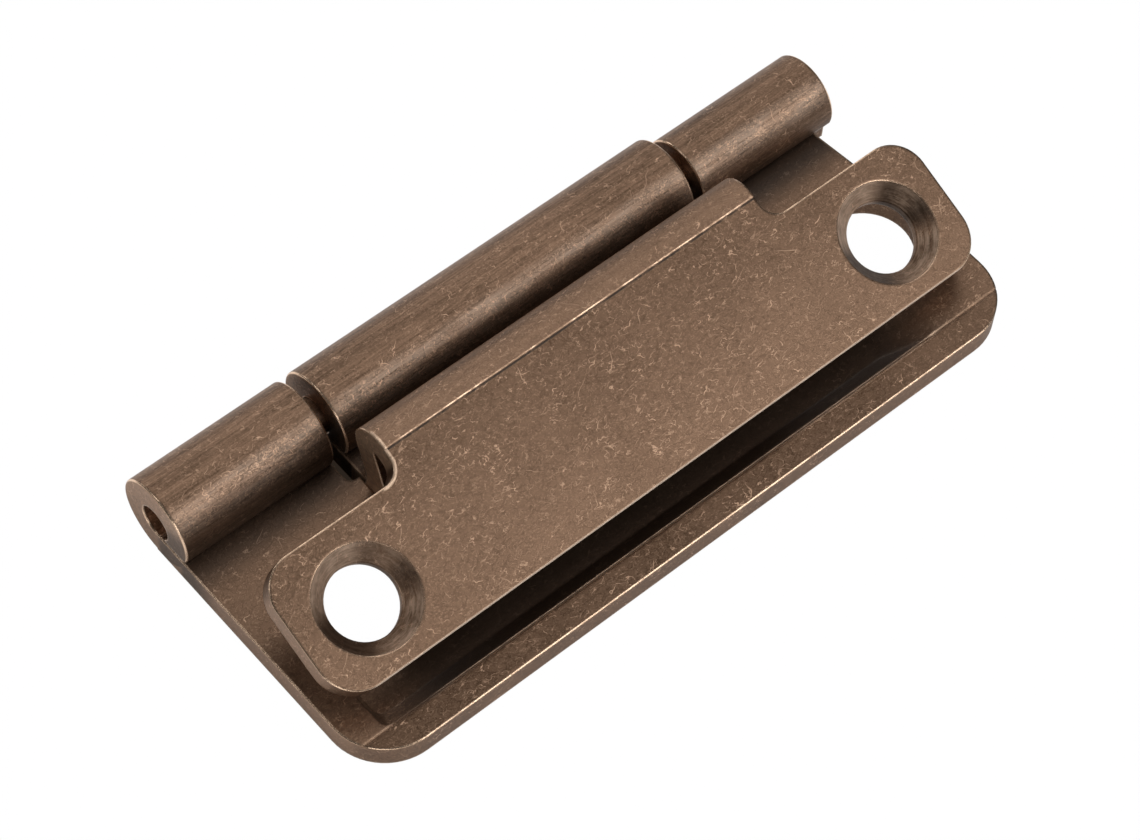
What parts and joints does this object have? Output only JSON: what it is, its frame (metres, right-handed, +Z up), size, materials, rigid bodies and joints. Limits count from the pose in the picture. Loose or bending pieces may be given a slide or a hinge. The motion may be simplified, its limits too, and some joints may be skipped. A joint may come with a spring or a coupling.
{
  "type": "cranked hinge",
  "caption": "Cranked butt hinge in antique bronze: flat frame leaf with slotted holes, tilted cranked door leaf with countersunk holes, and a plain pin.",
  "frame": {"origin": "centre of the bounding box in X and Y, at the underside of the frame leaf", "axes": "+X along the hinge pin, +Y from the leaves' front edges towards the barrel, +Z up from the frame leaf's underside"},
  "size_m": [0.05, 0.0226, 0.0083],
  "materials": {
    "frame_leaf": "antique bronze plated steel, worn to copper on the edges",
    "door_leaf": "antique bronze plated steel, worn to copper on the edges",
    "pin": "antique bronze plated steel"
  },
  "bodies": {
    "frame_side": {"frame_leaf": "frame_leaf", "hinge_pin": "pin"},
    "door_side": {"door_leaf": "door_leaf"}
  },
  "joints": [
    {"name": "hinge_turn", "type": "hinge", "parent": "frame_side", "child": "door_side", "pos_m": [0, 0.00843, 0.00287], "axis": [-1, 0, 0], "range_deg": [0, 180]}
  ]
}
